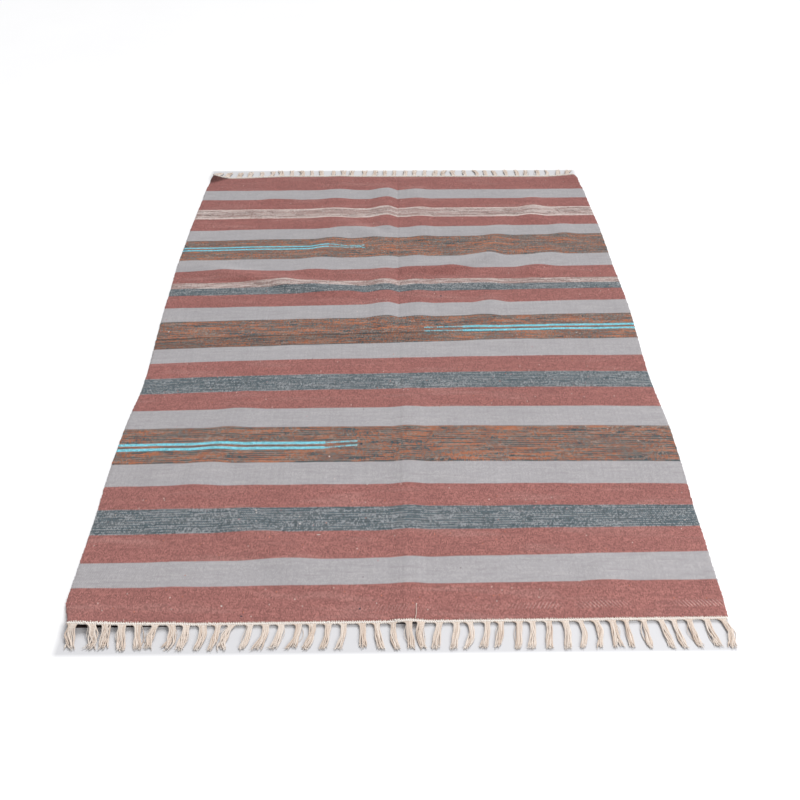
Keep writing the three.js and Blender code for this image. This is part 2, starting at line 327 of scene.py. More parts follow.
def add_tubes(shapes, paths, radii, sides, tones):
    """Round yarns along many paths at once, closed at both ends, mapped (around, along)."""
    count, steps, _ = paths.shape
    tangent = np.gradient(paths, axis=1)
    tangent /= np.linalg.norm(tangent, axis=2, keepdims=True)
    across = np.cross(tangent, [0.0, 0.0, 1.0])
    across /= np.maximum(np.linalg.norm(across, axis=2, keepdims=True), 1e-6)
    above = np.cross(across, tangent)
    angle = 2 * np.pi * np.arange(sides) / sides
    ring = np.cos(angle)[:, None] * across[:, :, None] + np.sin(angle)[:, None] * above[:, :, None]
    points = paths[:, :, None] + np.broadcast_to(radii, (count, steps))[:, :, None, None] * ring
    first = (np.arange(count) * steps * sides)[:, None, None]
    row = (np.arange(steps - 1) * sides)[None, :, None]
    here, there = np.arange(sides), (np.arange(sides) + 1) % sides
    quads = np.stack([
        first + row + here, first + row + sides + here, first + row + sides + there, first + row + there,
    ], axis=-1)
    ends = np.concatenate([
        first[:, 0] + here, first[:, 0] + (steps - 1) * sides + here[::-1],
    ])
    spans = np.linalg.norm(np.diff(paths, axis=1), axis=2)
    along = np.concatenate([np.zeros((count, 1)), np.cumsum(spans, axis=1)], axis=1)
    around = np.broadcast_to(here / sides, (count, steps - 1, sides))
    low = np.broadcast_to(along[:, :-1, None], around.shape)
    high = np.broadcast_to(along[:, 1:, None], around.shape)
    step = 1 / sides
    maps = np.stack([
        np.stack([around, low], axis=-1), np.stack([around, high], axis=-1),
        np.stack([around + step, high], axis=-1), np.stack([around + step, low], axis=-1),
    ], axis=3)
    shapes.add(
        points.reshape(-1, 3),
        [quads.reshape(-1, 4), ends],
        [maps.reshape(-1, 4, 2), np.zeros((len(ends), sides, 2))],
        np.repeat(tones, steps * sides),
    )


# Node graphs.


def linear(color):
    """An 8-bit screen colour as linear light."""
    share = np.array(color, float) / 255
    return tuple(np.where(share <= 0.04045, share / 12.92, ((share + 0.055) / 1.055) ** 2.4)) + (1.0,)


class Graph:
    """Wires one material. An input may be another node's output, a number or a colour."""

    def __init__(self, name):
        self.material = bpy.data.materials.new(name)
        self.material.use_nodes = True
        self.tree = self.material.node_tree
        self.tree.nodes.clear()

    def node(self, kind, inputs, **settings):
        made = self.tree.nodes.new(kind)
        for name, value in settings.items():
            setattr(made, name, value)
        for key, value in inputs.items():
            if isinstance(value, bpy.types.NodeSocket):
                self.tree.links.new(value, made.inputs[key])
            else:
                made.inputs[key].default_value = value
        return made

    def math(self, operation, *values, clamp=False):
        made = self.node("ShaderNodeMath", dict(enumerate(values)), operation=operation, use_clamp=clamp)
        return made.outputs[0]

    def times(self, first, second, clamp=False):
        return self.math("MULTIPLY", first, second, clamp=clamp)

    def times_plus(self, first, second, third, clamp=False):
        return self.math("MULTIPLY_ADD", first, second, third, clamp=clamp)

    def minus(self, first, second):
        return self.math("SUBTRACT", first, second)

    def split_map(self, name):
        made = self.node("ShaderNodeUVMap", {}, uv_map=name)
        parts = self.node("ShaderNodeSeparateXYZ", {0: made.outputs[0]})
        return parts.outputs[0], parts.outputs[1]

    def noise(self, x, y, scale=1.0, detail=0.0, roughness=0.5):
        place = self.node("ShaderNodeCombineXYZ", {0: x, 1: y})
        inputs = {"Vector": place.outputs[0], "Scale": scale, "Detail": detail, "Roughness": roughness}
        return self.node("ShaderNodeTexNoise", inputs, noise_dimensions="2D").outputs[0]

    def dice(self, x, y):
        """An even random number for each whole-numbered place."""
        place = self.node("ShaderNodeCombineXYZ", {0: x, 1: y})
        inputs = {"Vector": place.outputs[0]}
        return self.node("ShaderNodeTexWhiteNoise", inputs, noise_dimensions="2D").outputs[0]

    def mix(self, share, first, second):
        inputs = {"Factor": share, 6: first, 7: second}
        return self.node("ShaderNodeMix", inputs, data_type="RGBA").outputs[2]

    def steps(self, share, colors):
        """A colour for each equal step of the share."""
        made = self.node("ShaderNodeValToRGB", {0: share})
        made.color_ramp.interpolation = "CONSTANT"
        stops = made.color_ramp.elements
        while len(stops) < len(colors):
            stops.new(1.0)
        for index, color in enumerate(colors):
            stops[index].position = index / len(colors)
            stops[index].color = color
        return made.outputs[0]

    def brighten(self, color, amount):
        """Multiplies a colour by a number."""
        parts = self.node("ShaderNodeVectorMath", {0: color, "Scale": amount}, operation="SCALE")
        return parts.outputs[0]

    def finish(self, color, height, distance, roughness, sheen):
        bump = self.node("ShaderNodeBump", {"Height": height, "Strength": 1.0, "Distance": distance})
        inputs = {
            "Base Color": color, "Roughness": roughness, "Specular IOR Level": 0.15,
            "Sheen Weight": sheen, "Sheen Roughness": 0.5, "Normal": bump.outputs[0],
        }
        shader = self.node("ShaderNodeBsdfPrincipled", inputs)
        self.node("ShaderNodeOutputMaterial", {"Surface": shader.outputs[0]})
        return self.material


# The yarns of each stripe: three shades, how rarely the second and third break through, how much the
# beads of a row are mixed, how much the rows alternate, how often a bead is a stray speck, how much undyed
# warp peeps between the picks, how much the beads differ in tone, and how much the warps show as ribs.
YARN_COLUMNS = (
    "main", "second", "third", "second_limit", "third_limit", "mixing", "alternate", "speck",
    "peep", "fleck", "rib",
)
YARNS = {
    "red": (
        (147, 92, 87), (154, 98, 92), (138, 85, 81), 0.58, 0.66, 0.30, 0.00, 0.0040, 0.60, 0.54, 0.05,
    ),
    "grey": (
        (167, 164, 167), (173, 170, 172), (156, 152, 155), 0.60, 0.68, 0.20, 0.00, 0.0003, 0.06, 0.13, 0.12,
    ),
    "cream": (
        (202, 187, 182), (163, 138, 133), (126, 108, 103), 0.49, 0.60, 0.20, 0.02, 0.0030, 0.10, 0.34, 0.04,
    ),
    "brown": (
        (173, 109, 80), (62, 77, 82), (136, 118, 108), 0.51, 0.60, 0.30, 0.09, 0.0020, 0.00, 0.62, 0.04,
    ),
    "blue": (
        (100, 107, 111), (72, 87, 94), (133, 136, 139), 0.53, 0.55, 0.34, 0.10, 0.0020, 0.00, 0.54, 0.04,
    ),
    "slate": (
        (94, 93, 90), (140, 101, 82), (76, 85, 89), 0.52, 0.64, 0.30, 0.00, 0.0000, 0.00, 0.40, 0.04,
    ),
    "pale": (
        (214, 199, 194), (190, 171, 165), (160, 138, 132), 0.55, 0.64, 0.30, 0.00, 0.0010, 0.10, 0.30, 0.04,
    ),
}
YARN_ORDER = list(YARNS)
WARP_COTTON = (220, 190, 182)
SPECK_COLORS = ((212, 194, 186), (190, 112, 84), (84, 62, 62), (186, 124, 126))
SPECK_STRENGTH = 0.6

# The finer looks of the weave. Waves are counted to a metre, and a salt sets one noise apart from another.
SECOND_STREAKS = {"waves": 9.0, "salt": 0.37}
THIRD_STREAKS = {"waves": 16.0, "salt": 2.71}
STREAK_OFFSETS = 91.0
STREAK_SHARPNESS = 8.0
SPUN_YARN = {"waves": 60.0, "salt": 5.3, "offsets": 71.0, "share": 0.6}
RIB_WAVES = {"across": 190.0, "along": 2.5}
LOOSE_WAVES = {"across": 5.0, "along": 34.0, "gain": 5.0, "cut": -2.7}
BARE_WARP = {"by_length": -0.052, "middle": 0.047}
CLOUDS = {"waves": 5.0, "low": 0.95, "span": 0.10}
# Painted shade: each bead is coloured darker towards its edges, where the gaps between beads lie.
BEAD_SHADE = {"low": 0.89, "span": 0.24}
BEAD_HEIGHT = 0.5
# How much the painted shade darkens the folded far left corner.
FOLD_PAINTED_SHADE = -0.62

# A stretch of the nearest red stripe where the picks lie loosely and the warps show as a slanting hatch.
LOOSE_STRETCH = {
    "along": -874, "half": 10, "turn": 0.30, "pitch": 7.0, "slope": 0.65, "waves": 9.0,
    "rightward": 1.6, "middle": 0.35, "strength": 0.42,
}

# Darker along the near side of the middle brown stripe, on its left, most in one band.
BROWN_DARKENING = {
    "low": -36, "high": 9, "row": 8, "half_row": 4, "fades_at": 0.16, "fade": 8.0,
    "tint": 0.18, "row_tint": 0.32,
}

# Pairs of turquoise lines woven into the brown stripes, from one selvedge towards the middle.
TURQUOISE = (122, 198, 214)
INLAYS = table("side along apart thick_end thick tail_end tail tail_shift tail_apart", [
    (-1, 450, 14, 193, 6.4, 95, 4.6, 1, 6),
    (1, 18, 17, 168, 8.2, 70, 4.6, 1, 17),
    (-1, -424, 16.5, 158, 8.6, 88, 5.0, 7, 13),
])
SCALLOP = 0.9
TAIL_STRENGTH = 0.8
FADED_BEADS = {"share": 0.3, "loss": -0.5}

# Slubs, knots and stray tufts spun or woven into the cloth: dark, pale or turquoise.
FLECK_COLORS = ((50, 56, 68), (214, 204, 198), TURQUOISE)
FLECK_EDGE = {"fall": -1.3, "middle": 1.6}
FLECKS = table("x y long wide kind", [
    (-70, -874, 2.0, 2.4, 0),
    (-325, -864, 1.7, 1.8, 1),
    (-292, -888, 2.4, 1.8, 0),
    (-151, -461, 1.6, 2.0, 0),
    (-146, -461, 1.6, 2.2, 1),
    (-141, -461, 1.6, 2.0, 0),
    (-287, -622, 1.4, 1.8, 1),
    (-286, -629, 1.4, 1.8, 1),
    (-195, -660, 1.8, 1.8, 1),
    (-155, -690, 4.0, 1.0, 1),
    (-227, -680, 2.2, 1.9, 0),
    (-79, -421, 2.6, 3.4, 0),
    (-93, 454, 4.5, 2.6, 2),
    (-93, 439, 4.5, 2.6, 2),
    (118, 178, 3.0, 3.0, 0),
    (241, 34, 2.6, 3.6, 2),
    (-585, 15, 1.8, 2.8, 1),
])


def weave_cells(graph):
    """The half-drop cells of a weft-faced weave: each pick shows as a bead over every other warp."""
    across, along = graph.split_map("weave")
    warps = graph.math("DIVIDE", across, WARP_PITCH * MM)
    warp = graph.math("FLOOR", warps)
    drop = graph.times(graph.math("FLOORED_MODULO", warp, 2.0), 0.5)
    rows = graph.math("ADD", graph.math("DIVIDE", along, 2 * PICK_PITCH * MM), drop)
    row = graph.math("FLOOR", rows)
    side = graph.minus(graph.minus(warps, warp), 0.5)
    rise = graph.minus(graph.minus(rows, row), 0.5)
    middle = graph.math("ADD", graph.minus(row, drop), 0.5)
    flat_side = graph.times_plus(graph.times(side, side), -4.0, 1.0)
    flat_rise = graph.times_plus(graph.times(rise, rise), -4.0, 1.0)
    return {
        "across": across, "along": along, "drop": drop,
        "dome": graph.times(flat_side, flat_rise),
        "slant": graph.times(graph.times(side, rise), 4.0),
        "lot": graph.dice(warp, row),
        "speck": graph.dice(graph.math("ADD", warp, 0.5), row),
        "speck_lot": graph.dice(warp, graph.math("ADD", row, 0.5)),
        "row": row,
        "pick": graph.times(middle, 2.0),
        "place": graph.times(middle, 2 * PICK_PITCH * MM),
    }


def stripe_share(graph, place):
    """Which yarn a pick is woven of, as a share of the list of yarns."""
    count = len(YARN_ORDER)
    yarns = [YARN_ORDER.index(name) for name, _ in STRIPES]
    edge = NEAR_EDGE["y"] * MM
    share = (yarns[0] + 0.5) / count
    for (_, width), yarn, following in zip(STRIPES, yarns, yarns[1:]):
        edge += width * MM
        passed = graph.math("GREATER_THAN", place, edge)
        share = graph.times_plus(passed, (following - yarn) / count, share)
    return share


def inlay_mask(graph, cells, inlay):
    """How much a pick belongs to one pair of turquoise lines: full, then a thin dotted tail."""
    inward = graph.times(cells["across"], inlay["side"])
    in_tail = graph.math("LESS_THAN", inward, inlay["thick_end"] * MM)
    tail_length = (inlay["thick_end"] - inlay["tail_end"]) * MM
    past = graph.minus(inlay["thick_end"] * MM, inward)
    share = graph.math("DIVIDE", past, tail_length, clamp=True)
    shift = graph.times_plus(share, inlay["tail_shift"] * MM, inlay["along"] * MM)
    closing = (inlay["tail_apart"] - inlay["apart"]) / 2 * MM
    spacing = graph.times_plus(share, closing, inlay["apart"] / 2 * MM)
    off = graph.math("ABSOLUTE", graph.minus(cells["along"], shift))
    from_line = graph.math("ABSOLUTE", graph.minus(off, spacing))
    thinner = (inlay["tail"] - inlay["thick"]) * MM / 2
    half = graph.times_plus(in_tail, thinner, (inlay["thick"] / 2 - SCALLOP) * MM)
    half = graph.times_plus(cells["drop"], 4 * SCALLOP * MM, half)
    inside = graph.math("LESS_THAN", from_line, half)
    inside = graph.times(inside, graph.math("GREATER_THAN", inward, inlay["tail_end"] * MM))
    faded = graph.times(in_tail, graph.math("LESS_THAN", cells["lot"], FADED_BEADS["share"]))
    strength = graph.times_plus(in_tail, TAIL_STRENGTH - 1.0, 1.0)
    strength = graph.times_plus(faded, FADED_BEADS["loss"], strength)
    return graph.times(inside, strength)


def add_flecks(graph, cells, color):
    x, y = FLECKS["x"], FLECKS["y"]
    places = weave_place(x, y, x / HALF_WIDTH)
    for row, (across, along) in enumerate(places):
        side = graph.minus(cells["across"], float(across))
        side = graph.math("DIVIDE", side, float(FLECKS["long"][row]) * MM)
        rise = graph.minus(cells["along"], float(along))
        rise = graph.math("DIVIDE", rise, float(FLECKS["wide"][row]) * MM)
        away = graph.times_plus(side, side, graph.times(rise, rise))
        inside = graph.times_plus(away, FLECK_EDGE["fall"], FLECK_EDGE["middle"], clamp=True)
        color = graph.mix(inside, color, linear(FLECK_COLORS[int(FLECKS["kind"][row])]))
    return color


def streaks(graph, cells, streak, limit, mixing, alternate):
    """Where another shade of yarn runs along a row of picks: streaks broken up bead by bead."""
    offset = graph.times(graph.dice(cells["row"], streak["salt"]), STREAK_OFFSETS)
    across = graph.times_plus(cells["across"], streak["waves"], offset)
    value = graph.noise(across, streak["salt"], detail=3.0, roughness=0.6)
    centred = graph.minus(cells["lot"], 0.5)
    value = graph.times_plus(centred, mixing, value)
    turn = graph.times_plus(graph.math("FLOORED_MODULO", cells["row"], 2.0), 2.0, -1.0)
    value = graph.times_plus(turn, alternate, value)
    past = graph.minus(value, limit)
    return graph.times_plus(past, STREAK_SHARPNESS, 0.5, clamp=True)


def by_yarn(graph, share, *columns):
    """Up to three numbers of the yarn table, as separate outputs."""
    rows = [[YARNS[name][YARN_COLUMNS.index(column)] for column in columns] for name in YARN_ORDER]
    picked = graph.steps(share, [tuple(row + [0.0] * (3 - len(row)) + [1.0]) for row in rows])
    return list(graph.node("ShaderNodeSeparateColor", {0: picked}).outputs)[:len(columns)]


def loose_picks(graph, cells):
    """Where the picks lie so loosely that the warp shows as slanting ticks between them."""
    across = graph.times(cells["across"], LOOSE_WAVES["across"])
    along = graph.times(cells["along"], LOOSE_WAVES["along"])
    patches = graph.noise(across, along, detail=2.0)
    loose = graph.times_plus(patches, LOOSE_WAVES["gain"], LOOSE_WAVES["cut"], clamp=True)
    return graph.times(loose, graph.math("MAXIMUM", cells["slant"], 0.0))


def slanting_hatch(graph, cells):
    """Fine slanting lines in the loose stretch, which turn the other way part of the way across."""
    off = graph.minus(cells["along"], LOOSE_STRETCH["along"] * MM)
    inside = graph.math("DIVIDE", graph.math("ABSOLUTE", off), -LOOSE_STRETCH["half"] * MM / 2)
    inside = graph.math("ADD", inside, 2.0, clamp=True)
    from_turn = graph.math("ABSOLUTE", graph.minus(cells["across"], LOOSE_STRETCH["turn"]))
    slanted = graph.times_plus(off, LOOSE_STRETCH["slope"], from_turn)
    wave = graph.times(slanted, 2 * math.pi / (LOOSE_STRETCH["pitch"] * MM))
    lines = graph.times_plus(graph.math("SINE", wave), 1.5, -0.4, clamp=True)
    patches = graph.noise(graph.times(cells["across"], LOOSE_STRETCH["waves"]), 0.3, detail=2.0)
    patches = graph.times_plus(patches, 4.0, -1.5, clamp=True)
    rightward = LOOSE_STRETCH["rightward"]
    more = graph.times_plus(cells["across"], rightward, LOOSE_STRETCH["middle"], clamp=True)
    patches = graph.times(patches, more)
    hatch = graph.times(graph.times(inside, lines), patches)
    return graph.times(hatch, LOOSE_STRETCH["strength"])


def brown_darkening(graph, cells):
    """How much darker the middle brown stripe is towards its near left side, most in one band."""
    fade = graph.minus(BROWN_DARKENING["fades_at"], cells["across"])
    fade = graph.times(fade, BROWN_DARKENING["fade"], clamp=True)
    above = graph.math("GREATER_THAN", cells["place"], BROWN_DARKENING["low"] * MM)
    below = graph.math("LESS_THAN", cells["place"], BROWN_DARKENING["high"] * MM)
    off = graph.math("ABSOLUTE", graph.minus(cells["place"], BROWN_DARKENING["row"] * MM))
    row = graph.math("LESS_THAN", off, BROWN_DARKENING["half_row"] * MM)
    amount = graph.times_plus(row, BROWN_DARKENING["row_tint"], BROWN_DARKENING["tint"])
    amount = graph.times(fade, amount)
    return graph.times(graph.times(above, below), amount)


def yarn_color(graph, cells, share):
    """The main shade of each stripe, broken by streaks of its second and its third."""
    shades = [graph.steps(share, [linear(YARNS[name][shade]) for name in YARN_ORDER]) for shade in range(3)]
    second_limit, third_limit, mixing = by_yarn(graph, share, "second_limit", "third_limit", "mixing")
    alternate, = by_yarn(graph, share, "alternate")
    other_way = graph.times(alternate, -1.0)
    second = streaks(graph, cells, SECOND_STREAKS, second_limit, mixing, alternate)
    third = streaks(graph, cells, THIRD_STREAKS, third_limit, mixing, other_way)
    return graph.mix(third, graph.mix(second, shades[0], shades[1]), shades[2])


def bare_warp(graph, cells, peep):
    """How much undyed warp shows: more where the picks lie loosely, and towards the near end."""
    by_length = BARE_WARP["by_length"]
    nearer = graph.times_plus(cells["along"], by_length, BARE_WARP["middle"], clamp=True)
    return graph.times(peep, graph.math("ADD", loose_picks(graph, cells), nearer))


def add_specks(graph, cells, share, color):
    """Beads of stray fibre here and there, each in one of a few colours."""
    often, = by_yarn(graph, share, "speck")
    stray = graph.times(graph.math("LESS_THAN", cells["speck"], often), SPECK_STRENGTH)
    return graph.mix(stray, color, graph.steps(cells["speck_lot"], [linear(part) for part in SPECK_COLORS]))


def around_one(graph, value, span):
    """A factor that swings about one as a value swings about a half."""
    return graph.times_plus(graph.minus(value, 0.5), span, 1.0)


def yarn_tone(graph, cells, fleck, rib):
    """How light each bead is: its yarn, the spinning, the ribs, soft clouds, a painted shade towards its
    edges for its round form, the darker stretch of the middle brown stripe and the painted shade of the
    folded far left corner.
    """
    offset = graph.times(graph.dice(cells["pick"], SPUN_YARN["salt"]), SPUN_YARN["offsets"])
    spun = graph.times_plus(cells["across"], SPUN_YARN["waves"], offset)
    spun = graph.noise(spun, 0.4, detail=2.0)
    ribs_across = graph.times(cells["across"], RIB_WAVES["across"])
    ribs_along = graph.times(cells["along"], RIB_WAVES["along"])
    ribs = graph.noise(ribs_across, ribs_along, detail=1.0)
    clouds = graph.noise(cells["across"], cells["along"], CLOUDS["waves"], 2.0)
    # On the woven pieces each point's tone is the painted shade of the folded far left corner.
    shade = graph.node("ShaderNodeAttribute", {}, attribute_name="tone").outputs["Fac"]
    factors = (
        around_one(graph, spun, graph.times(fleck, SPUN_YARN["share"])),
        around_one(graph, ribs, rib),
        graph.times_plus(clouds, CLOUDS["span"], CLOUDS["low"]),
        graph.times_plus(cells["dome"], BEAD_SHADE["span"], BEAD_SHADE["low"]),
        graph.minus(1.0, brown_darkening(graph, cells)),
        graph.times_plus(shade, FOLD_PAINTED_SHADE, 1.0),
    )
    tone = around_one(graph, cells["lot"], fleck)
    for factor in factors:
        tone = graph.times(tone, factor)
    return tone


def striped_weave():
    graph = Graph("striped_weave")
    cells = weave_cells(graph)
    share = stripe_share(graph, cells["place"])
    peep, fleck, rib = by_yarn(graph, share, "peep", "fleck", "rib")
    color = yarn_color(graph, cells, share)
    color = graph.mix(bare_warp(graph, cells, peep), color, linear(WARP_COTTON))
    color = graph.mix(slanting_hatch(graph, cells), color, linear(WARP_COTTON))
    for row in range(len(INLAYS["side"])):
        inlay = {name: float(values[row]) for name, values in INLAYS.items()}
        color = graph.mix(inlay_mask(graph, cells, inlay), color, linear(TURQUOISE))
    color = add_flecks(graph, cells, color)
    color = add_specks(graph, cells, share, color)
    color = graph.brighten(color, yarn_tone(graph, cells, fleck, rib))
    return graph.finish(color, cells["dome"], BEAD_HEIGHT * MM, roughness=0.92, sheen=0.12)


# Undyed cotton, and the floor. Floor sizes are in metres.
COTTON = {"dull": (207, 188, 173), "bright": (240, 233, 226)}
# The plies' low and span paint shade into the grooves between them.
PLY = {"turn": 5.5, "height": 0.12, "low": 0.89, "span": 0.14}
FUZZ = {"around": 9.0, "waves": 1.3, "low": 0.91, "span": 0.18}
FLOOR_COLORS = ((250, 250, 251), (253, 253, 254))
# Painted shadow: a grey band on the floor between the tassels at each end.
FRINGE_PAINTED_SHADOW = {"color": (207, 207, 210), "end_fade": 90.0, "side_fade": 70.0}
FRINGE_SHADOW_BANDS = ((-0.936, 0.030), (0.930, 0.024))
# Painted shadow: a dark floor under the rug, seen in the gap beneath the lifted near end.
PAINTED_SHADOW_UNDER_RUG = {"color": (64, 52, 50), "half": 0.594, "near": -0.906, "far": 0.88}


def cotton_yarn():
    """Two-ply undyed cotton: slanting plies with painted shade in the grooves between them, each yarn a
    little lighter or darker.
    """
    graph = Graph("cotton_yarn")
    around, along = graph.split_map("yarn")
    twice_round = graph.times(around, 4 * math.pi)
    turn = graph.times_plus(along, 2 * math.pi / PLY["turn"], twice_round)
    ply = graph.times_plus(graph.math("SINE", turn), 0.5, 0.5)
    tone = graph.node("ShaderNodeAttribute", {}, attribute_name="tone").outputs["Fac"]
    fuzz = graph.noise(graph.times(around, FUZZ["around"]), along, FUZZ["waves"], 2.0)
    color = graph.mix(tone, linear(COTTON["dull"]), linear(COTTON["bright"]))
    painted_ply_shade_and_fuzz = graph.times_plus(ply, PLY["span"], PLY["low"])
    painted_ply_shade_and_fuzz = graph.times(painted_ply_shade_and_fuzz, graph.times_plus(fuzz, FUZZ["span"], FUZZ["low"]))
    color = graph.brighten(color, painted_ply_shade_and_fuzz)
    return graph.finish(color, ply, PLY["height"] * MM, roughness=0.9, sheen=0.15)


def pale_floor():
    """A near-white floor, with a painted grey shadow where the fringes lie and a painted dark shadow under
    the rug.
    """
    graph = Graph("pale_floor")
    place = graph.node("ShaderNodeTexCoord", {}).outputs["Object"]
    parts = graph.node("ShaderNodeSeparateXYZ", {0: place})
    x, y = parts.outputs[0], parts.outputs[1]
    from_middle = graph.math("ABSOLUTE", x)
    grain = graph.noise(x, y, 3.0, 3.0)
    color = graph.mix(grain, *(linear(shade) for shade in FLOOR_COLORS))
    end_fade, side_fade = FRINGE_PAINTED_SHADOW["end_fade"], FRINGE_PAINTED_SHADOW["side_fade"]
    inside = graph.times_plus(from_middle, -side_fade, HALF_WIDTH * MM * side_fade, clamp=True)
    # Paints the grey shadow bands where the fringes lie.
    for middle, half in FRINGE_SHADOW_BANDS:
        off = graph.math("ABSOLUTE", graph.minus(y, middle))
        band = graph.times_plus(off, -end_fade, half * end_fade + 1.0, clamp=True)
        color = graph.mix(graph.times(band, inside), color, linear(FRINGE_PAINTED_SHADOW["color"]))
    # Paints the dark shadow on the floor under the rug.
    covered = graph.math("LESS_THAN", from_middle, PAINTED_SHADOW_UNDER_RUG["half"])
    past_edge = graph.times_plus(x, -NEAR_EDGE["skew"], y)
    past_edge = graph.math("GREATER_THAN", past_edge, PAINTED_SHADOW_UNDER_RUG["near"])
    before_end = graph.math("LESS_THAN", y, PAINTED_SHADOW_UNDER_RUG["far"])
    under = graph.times(covered, graph.times(past_edge, before_end))
    color = graph.mix(under, color, linear(PAINTED_SHADOW_UNDER_RUG["color"]))
    return graph.finish(color, grain, 0.02 * MM, roughness=0.85, sheen=0.0)


# The woven panel.

COLUMNS = 176
ROWS = 248
ROLLED_EDGE = 2.5
RIM = {"top": 0.72, "foot": 0.28}
CREASE_X = 12
FINE_STEP = 2
BAKE_MAP = {"width": 0.485, "margin": 0.01, "shift": 0.495}


def panel_grid():
    """Shares of the half-width for the columns and shares of the length for the rows."""
    rim = ROLLED_EDGE / HALF_WIDTH
    near_crease = (CREASE_X + FINE_STEP * np.arange(-5, 6)) / HALF_WIDTH
    columns = np.concatenate([np.linspace(-1, 1, COLUMNS), [rim - 1, 1 - rim], near_crease])
    length = FAR_EDGE["y"] - NEAR_EDGE["y"]
    rows = np.concatenate([np.linspace(0, 1, ROWS), [ROLLED_EDGE / length, 1 - ROLLED_EDGE / length]])
    return np.unique(columns), np.unique(rows)


def panel_place(share, length):
    """The floor plan of the panel at a share of its half-width and of its length."""
    y = NEAR_EDGE["y"] + length * (FAR_EDGE["y"] - NEAR_EDGE["y"])
    left, right = read(SELVEDGES, "y", "left", y), read(SELVEDGES, "y", "right", y)
    x = left + (right - left) * (share + 1) / 2
    skew = NEAR_EDGE["skew"] + length * (FAR_EDGE["skew"] - NEAR_EDGE["skew"])
    drawn = ease((y - FAR_EDGE["y"] + DRAWN_STRETCH["depth"]) / DRAWN_STRETCH["depth"])
    return x, y, y + skew * x - FAR_EDGE["drawn_in"] * drawn * leftward(DRAWN_STRETCH, x)


def woven_rug(material):
    columns, rows = panel_grid()
    share, length = np.meshgrid(columns, rows)
    x, y, laid = panel_place(share, length)
    floor_gap = lift(x, y)
    top = surface(x, y)
    rim = np.zeros(share.shape, bool)
    rim[[0, -1], :] = True
    rim[:, [0, -1]] = True
    top = np.where(rim, floor_gap + RIM["top"] * THICKNESS, top)
    bottom = np.where(rim, floor_gap + RIM["foot"] * THICKNESS, floor_gap)
    upper = np.stack([x, laid, top], axis=-1).reshape(-1, 3)
    under = np.stack([x, laid, bottom], axis=-1).reshape(-1, 3)
    maps = weave_place(x, y, share).reshape(-1, 2)
    across = len(columns)
    corner = (np.arange(len(rows) - 1)[:, None] * across + np.arange(across - 1)).ravel()
    face = np.stack([corner, corner + 1, corner + across + 1, corner + across], axis=1)
    ring = np.concatenate([
        np.arange(across), np.arange(2, len(rows) + 1) * across - 1,
        len(rows) * across - 2 - np.arange(across - 1), np.arange(len(rows) - 2, 0, -1) * across,
    ])
    following = np.roll(ring, -1)
    total = len(upper)
    side = np.stack([ring + total, following + total, following, ring], axis=1)
    both = np.concatenate([maps, maps])
    faces = [face, face[:, ::-1] + total, side]
    shapes = Shapes()
    # The painted shade of the folded far left corner, kept as each point's tone.
    shade = np.tile(painted_fold_shade(x, y).ravel(), 2)
    shapes.add(np.concatenate([upper, under]), faces, [both[part] for part in faces], shade)
    piece = shapes.build("woven_rug", material, "weave")
    add_bake_map(piece, np.concatenate([upper, under]), faces)
    return piece


def add_bake_map(piece, points, faces):
    """A second map with the upper face and the underside side by side, each at the same scale."""
    low, high = points.min(axis=0), points.max(axis=0)
    scale = BAKE_MAP["width"] / (high[0] - low[0])
    flat = (points[:, :2] - low[:2]) * scale + BAKE_MAP["margin"]
    shift = np.array([BAKE_MAP["shift"], 0.0])
    parts = [flat[faces[0]], flat[faces[1]] + shift, flat[faces[2]]]
    layer = piece.data.uv_layers.new(name="OFBake", do_init=False)
    layer.uv.foreach_set("vector", np.concatenate([part.reshape(-1, 2) for part in parts]).ravel())


BEAD_PITCH = 5.0
BEAD_INSET = 1.5
BEAD_TURN = 0.35

# Each bead's usual radius across, along and up, and how much less or more it may be.
BEAD_RADII = ((2.3, -0.7, 0.8), (2.7, -0.3, 0.5), (2.0, -0.2, 0.25))


def selvedges(material):
    """The turns of weft round the outer warps: a row of uneven beads along each side."""
    shapes = Shapes()
    length = FAR_EDGE["y"] - NEAR_EDGE["y"]
    count = int(length / BEAD_PITCH)
    place = (np.arange(count) + 0.5) / count
    for side in (-1, 1):
        share = np.full(count, float(side))
        x, y, laid = panel_place(share, place)
        stray = random.normal(0, 0.5, count)
        z = lift(x, y) + THICKNESS * 0.5 + random.normal(0, 0.12, count)
        radii = [usual + random.uniform(less, more, count) for usual, less, more in BEAD_RADII]
        z = np.maximum(z, radii[2])
        centres = np.stack([x - side * BEAD_INSET + stray, laid, z], axis=1)
        maps = weave_place(x, y, share)
        # Each bead's tone is the painted shade of the folded far left corner.
        add_balls(shapes, centres, np.stack(radii, axis=1), maps, painted_fold_shade(x, y), side * BEAD_TURN)
    return shapes.build("selvedges", material, "weave")


# The fringes: a twined cord along each end, and the warps bunched into tassels.

